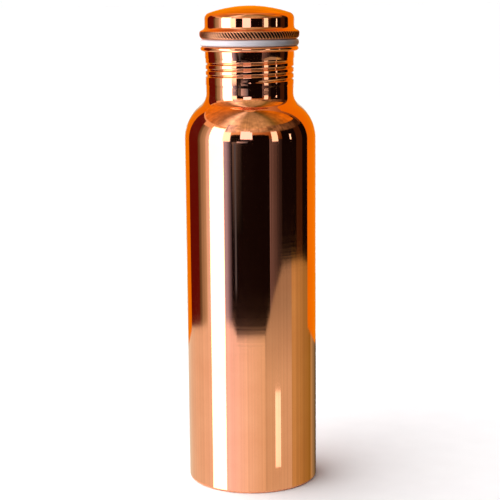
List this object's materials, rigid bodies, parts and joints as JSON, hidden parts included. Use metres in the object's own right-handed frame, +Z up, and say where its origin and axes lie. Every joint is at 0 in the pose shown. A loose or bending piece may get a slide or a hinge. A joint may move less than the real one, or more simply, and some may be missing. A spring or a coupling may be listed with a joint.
{
  "type": "water bottle",
  "caption": "Tall cylindrical copper water bottle with a rounded shoulder, a threaded neck and a domed screw-in cap on a soft gasket.",
  "frame": {"origin": "centre of the foot ring's underside, on the surface the bottle stands on", "axes": "+Z up along the bottle's axis towards the cap; +X passes the height where the neck groove's lowest full turn is centred"},
  "size_m": [0.072, 0.072, 0.264],
  "materials": {
    "polished_copper": "lathe-polished copper, near mirror, with fine lines round the axis",
    "satin_copper": "satin copper, pressed and lightly tarnished",
    "silicone": "off-white translucent silicone, semi-matt"
  },
  "bodies": {
    "bottle": {"body_shell": "polished_copper", "base_pan": "satin_copper"},
    "gasket": {"gasket": "silicone"},
    "cap": {"cap_shell": "polished_copper", "cap_plug": "satin_copper"}
  },
  "joints": [
    {"name": "cap_rise", "type": "slide", "parent": "bottle", "child": "gasket", "axis": [0, 0, 1], "range_m": [0, 0.0129]},
    {"name": "cap_turn", "type": "hinge", "parent": "gasket", "child": "cap", "pos_m": [0, 0, 0.246], "axis": [0, 0, 1], "range_deg": [0, 1440]}
  ],
  "couplings": [
    {"joint": "cap_rise", "follows": "cap_turn", "m_per_rad": 0.0005093}
  ]
}
